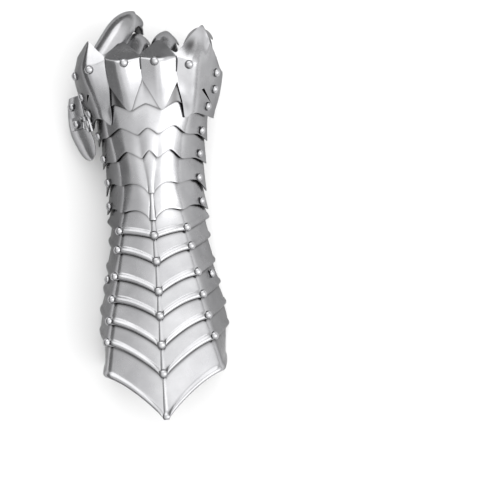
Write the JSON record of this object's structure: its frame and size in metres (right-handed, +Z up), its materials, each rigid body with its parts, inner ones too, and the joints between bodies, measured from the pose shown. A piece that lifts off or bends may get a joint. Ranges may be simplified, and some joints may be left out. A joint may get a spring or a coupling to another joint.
{
  "type": "armoured gauntlet",
  "caption": "Right-hand steel plate gauntlet with a ribbed flared cuff, riveted lames over the hand, a pointed knuckle plate, curled finger lames and a hinged thumb plate.",
  "frame": {"origin": "middle of the plan, on the surface it lies on", "axes": "+Y towards the fingers, +Z up from the surface, +X towards the little-finger side"},
  "size_m": [0.1298, 0.329, 0.1012],
  "materials": {
    "plate_steel": "polished by hand, satin to bright",
    "rivet_steel": "polished",
    "leather": "matt"
  },
  "bodies": {
    "cuff": {"strap_rivet_left": "rivet_steel", "strap_rivet_right": "rivet_steel", "cuff_lame_7": "plate_steel", "cuff_lame_6": "plate_steel", "cuff_lame_5": "plate_steel", "cuff_lame_4": "plate_steel", "cuff_lame_3": "plate_steel", "cuff_lame_2": "plate_steel", "cuff_lame_1": "plate_steel", "cuff_strap": "leather"},
    "hand_lame_1": {"pivot_rivet_1_left": "rivet_steel", "pivot_rivet_1_right": "rivet_steel", "hand_lame_1": "plate_steel"},
    "hand_lame_2": {"pivot_rivet_2_left": "rivet_steel", "pivot_rivet_2_right": "rivet_steel", "hand_lame_2": "plate_steel"},
    "hand_lame_3": {"pivot_rivet_3_left": "rivet_steel", "pivot_rivet_3_right": "rivet_steel", "hand_lame_3": "plate_steel"},
    "hand_lame_4": {"pivot_rivet_4_left": "rivet_steel", "pivot_rivet_4_right": "rivet_steel", "hand_lame_4": "plate_steel"},
    "knuckles": {"pivot_rivet_5_left": "rivet_steel", "pivot_rivet_5_right": "rivet_steel", "knuckle_rivet_index": "rivet_steel", "knuckle_rivet_middle": "rivet_steel", "knuckle_rivet_ring": "rivet_steel", "knuckle_rivet_little": "rivet_steel", "side_rivet_1_left": "rivet_steel", "side_rivet_1_right": "rivet_steel", "side_rivet_2_left": "rivet_steel", "side_rivet_2_right": "rivet_steel", "hinge_rivet_hand": "rivet_steel", "knuckle_underplate": "plate_steel", "knuckle_plate": "plate_steel", "palm_strap": "leather", "index_lame_1": "plate_steel", "index_lame_2": "plate_steel", "index_lame_3": "plate_steel", "index_strip": "leather", "middle_lame_1": "plate_steel", "middle_lame_2": "plate_steel", "middle_lame_3": "plate_steel", "middle_strip": "leather", "ring_lame_1": "plate_steel", "ring_lame_2": "plate_steel", "ring_lame_3": "plate_steel", "ring_strip": "leather", "little_lame_1": "plate_steel", "little_lame_2": "plate_steel", "little_lame_3": "plate_steel", "little_strip": "leather", "hinge_hand_leaf": "plate_steel", "hinge_pin": "plate_steel"},
    "thumb": {"hinge_rivet_thumb": "rivet_steel", "thumb_tip_rivet": "rivet_steel", "thumb_plate": "plate_steel", "thumb_tip": "plate_steel", "hinge_thumb_leaf": "plate_steel"}
  },
  "joints": [
    {"name": "flex_1", "type": "hinge", "parent": "cuff", "child": "hand_lame_1", "pos_m": [0.00225, 0.00795, 0.03258], "axis": [1, 0, 0], "range_deg": [-6, 0]},
    {"name": "flex_2", "type": "hinge", "parent": "hand_lame_1", "child": "hand_lame_2", "pos_m": [0.00225, 0.02738, 0.03776], "axis": [1, 0, 0], "range_deg": [-6, 0]},
    {"name": "flex_3", "type": "hinge", "parent": "hand_lame_2", "child": "hand_lame_3", "pos_m": [0.00225, 0.04681, 0.04137], "axis": [1, 0, 0], "range_deg": [-5, 0]},
    {"name": "flex_4", "type": "hinge", "parent": "hand_lame_3", "child": "hand_lame_4", "pos_m": [0.00225, 0.06548, 0.04557], "axis": [1, 0, 0], "range_deg": [-4, 0]},
    {"name": "flex_5", "type": "hinge", "parent": "hand_lame_4", "child": "knuckles", "pos_m": [0.00225, 0.08491, 0.05423], "axis": [1, 0, 0], "range_deg": [-7, 0]},
    {"name": "thumb_hinge", "type": "hinge", "parent": "knuckles", "child": "thumb", "pos_m": [-0.04887, 0.07654, 0.03567], "axis": [-0.2202, 0.9596, 0.175], "range_deg": [-15, 40]}
  ]
}
